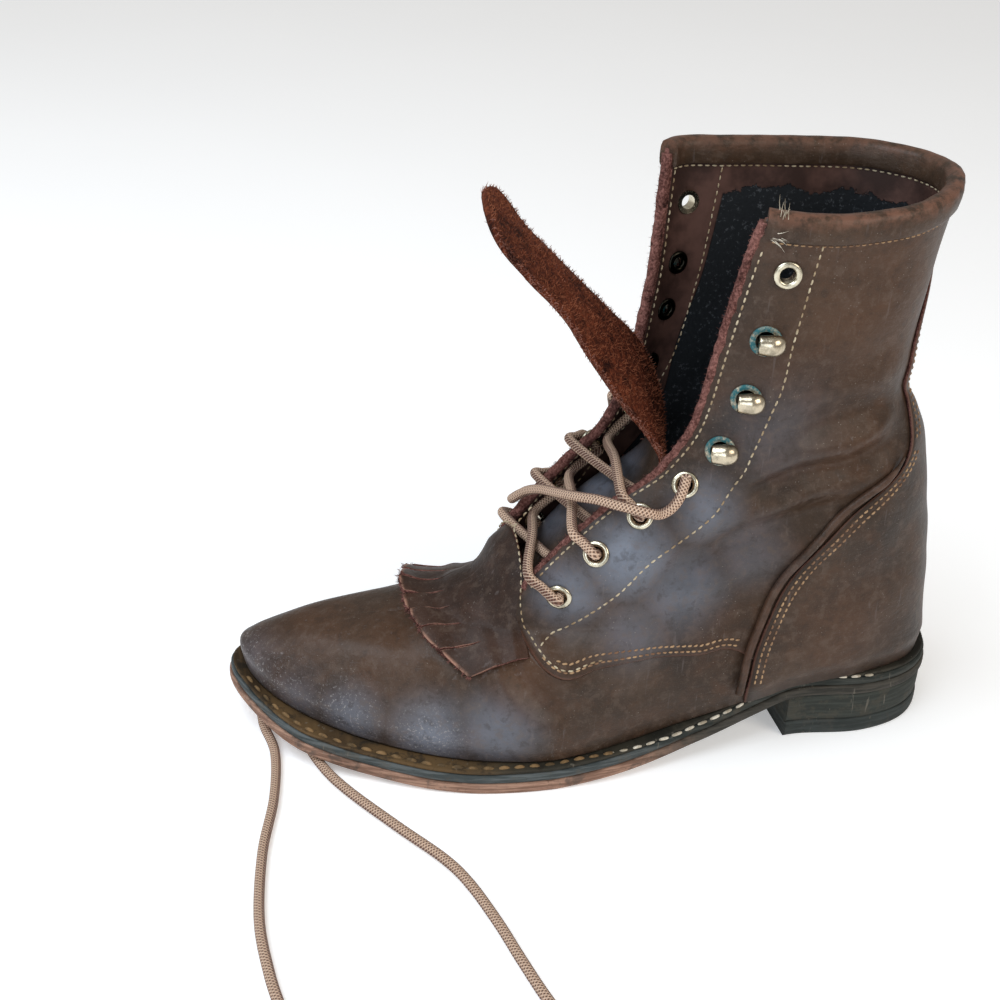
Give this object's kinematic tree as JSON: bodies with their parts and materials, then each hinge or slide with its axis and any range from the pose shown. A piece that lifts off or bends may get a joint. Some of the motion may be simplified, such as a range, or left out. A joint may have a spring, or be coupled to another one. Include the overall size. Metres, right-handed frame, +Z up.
{
  "type": "lace-up boot",
  "caption": "Ankle-high leather lace-up boot for the left foot, with a stitched welted sole, low block heel, fringe over the vamp, eyelets and hooks.",
  "frame": {"origin": "centre of the heel's rest face, on the floor", "axes": "+X towards the toe, +Y to the outer (lateral) side of this left boot, +Z up"},
  "size_m": [0.3009, 0.2595, 0.2385],
  "materials": {
    "upper_leather": "oiled, worn",
    "sole_edge_leather": "raw edge",
    "sole_rubber": "matte, scuffed",
    "welt_leather": "stitched",
    "suede": "napped",
    "insole_lining": "matte",
    "lace_braid": "braided",
    "aged_brass": "aged, with patina"
  },
  "bodies": {
    "root": {"outsole": "sole_edge_leather", "midsole": "sole_rubber", "welt": "welt_leather", "heel_stack": "sole_rubber", "top_lift": "sole_rubber", "insole": "insole_lining", "upper": "upper_leather", "counter": "upper_leather", "collar_binding": "upper_leather", "tongue": "suede", "fringe": "upper_leather", "counter_piping_lateral": "upper_leather", "eyelet_lateral_1": "aged_brass", "eyelet_lateral_2": "aged_brass", "eyelet_lateral_3": "aged_brass", "eyelet_lateral_4": "aged_brass", "eyelet_lateral_8": "aged_brass", "hook_lateral_5": "aged_brass", "hook_lateral_6": "aged_brass", "hook_lateral_7": "aged_brass", "counter_piping_medial": "upper_leather", "eyelet_medial_1": "aged_brass", "eyelet_medial_2": "aged_brass", "eyelet_medial_3": "aged_brass", "eyelet_medial_4": "aged_brass", "eyelet_medial_8": "aged_brass", "hook_medial_5": "aged_brass", "hook_medial_6": "aged_brass", "hook_medial_7": "aged_brass", "lace_crossing_1": "lace_braid", "lace_crossing_2": "lace_braid", "lace_crossing_3": "lace_braid", "lace_end_lateral": "lace_braid", "lace_end_medial": "lace_braid"}
  },
  "joints": []
}
